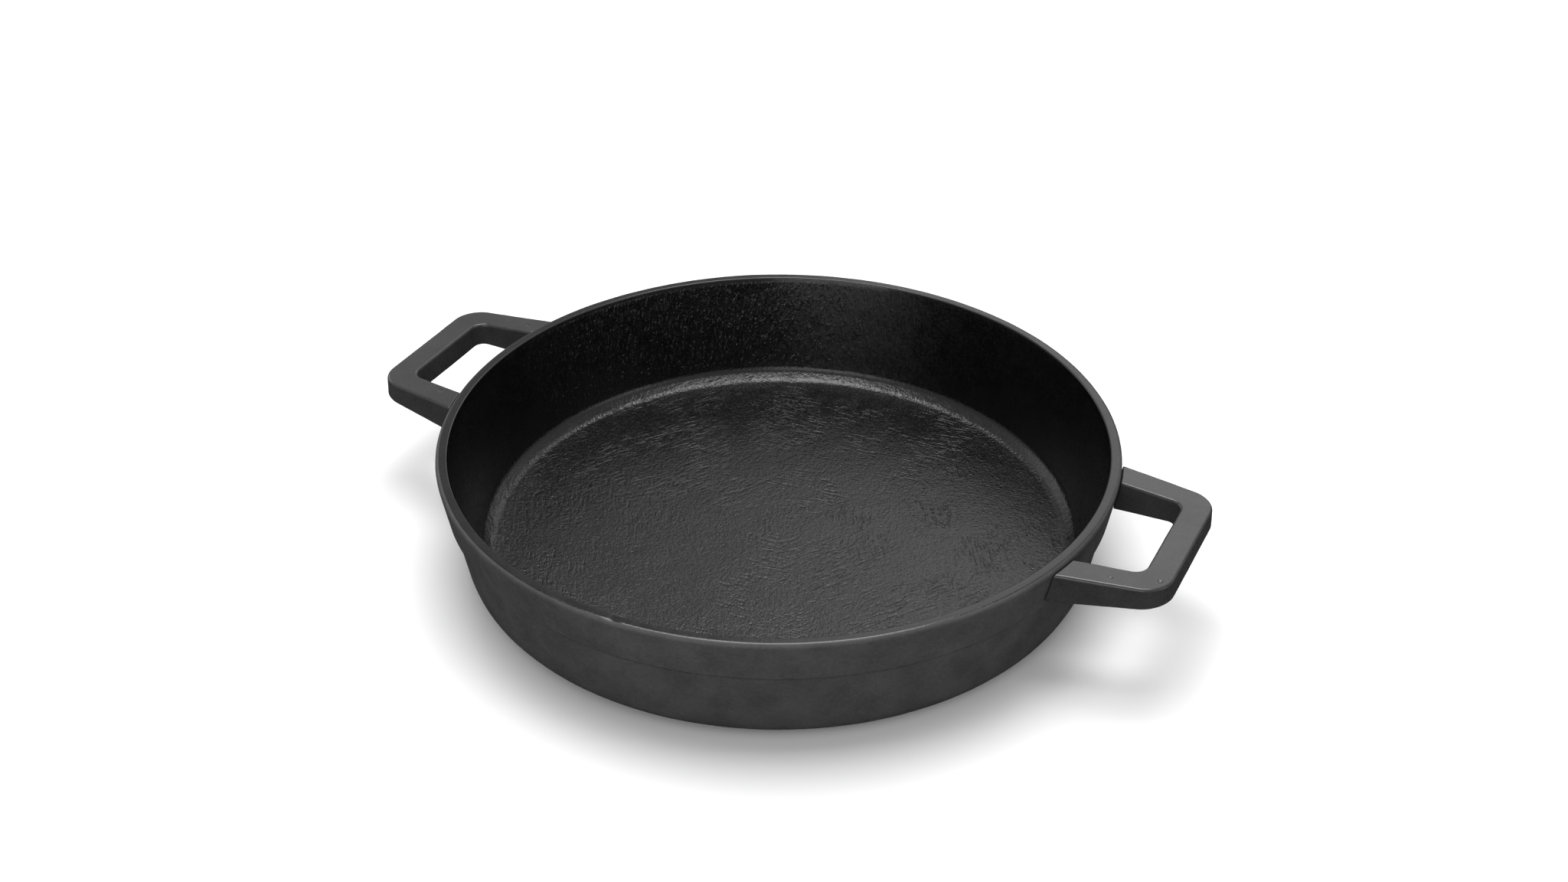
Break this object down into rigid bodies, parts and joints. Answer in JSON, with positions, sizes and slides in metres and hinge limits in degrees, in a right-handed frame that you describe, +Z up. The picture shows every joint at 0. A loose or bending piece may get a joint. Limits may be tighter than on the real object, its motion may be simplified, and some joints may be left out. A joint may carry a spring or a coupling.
{
  "type": "cast iron skillet",
  "caption": "Round deep cast iron skillet with a flat cooking floor, sloping walls, a raised belt under the rim and two opposed loop handles.",
  "frame": {"origin": "centre of the pan's underside, on the surface that the pan stands on", "axes": "+Z up through the middle of the pan, +X out along the right handle, +Y away from a cook who stands with the handles to left and right"},
  "size_m": [0.3508, 0.2798, 0.0518],
  "materials": {
    "pan_iron": "satin black seasoned cast iron with fine casting grain and brushed wear inside",
    "handle_iron": "satin dark grey cast iron with small casting pits and lightly worn edges"
  },
  "bodies": {
    "root": {"pan_body": "pan_iron", "left_handle": "handle_iron", "right_handle": "handle_iron"}
  },
  "joints": []
}
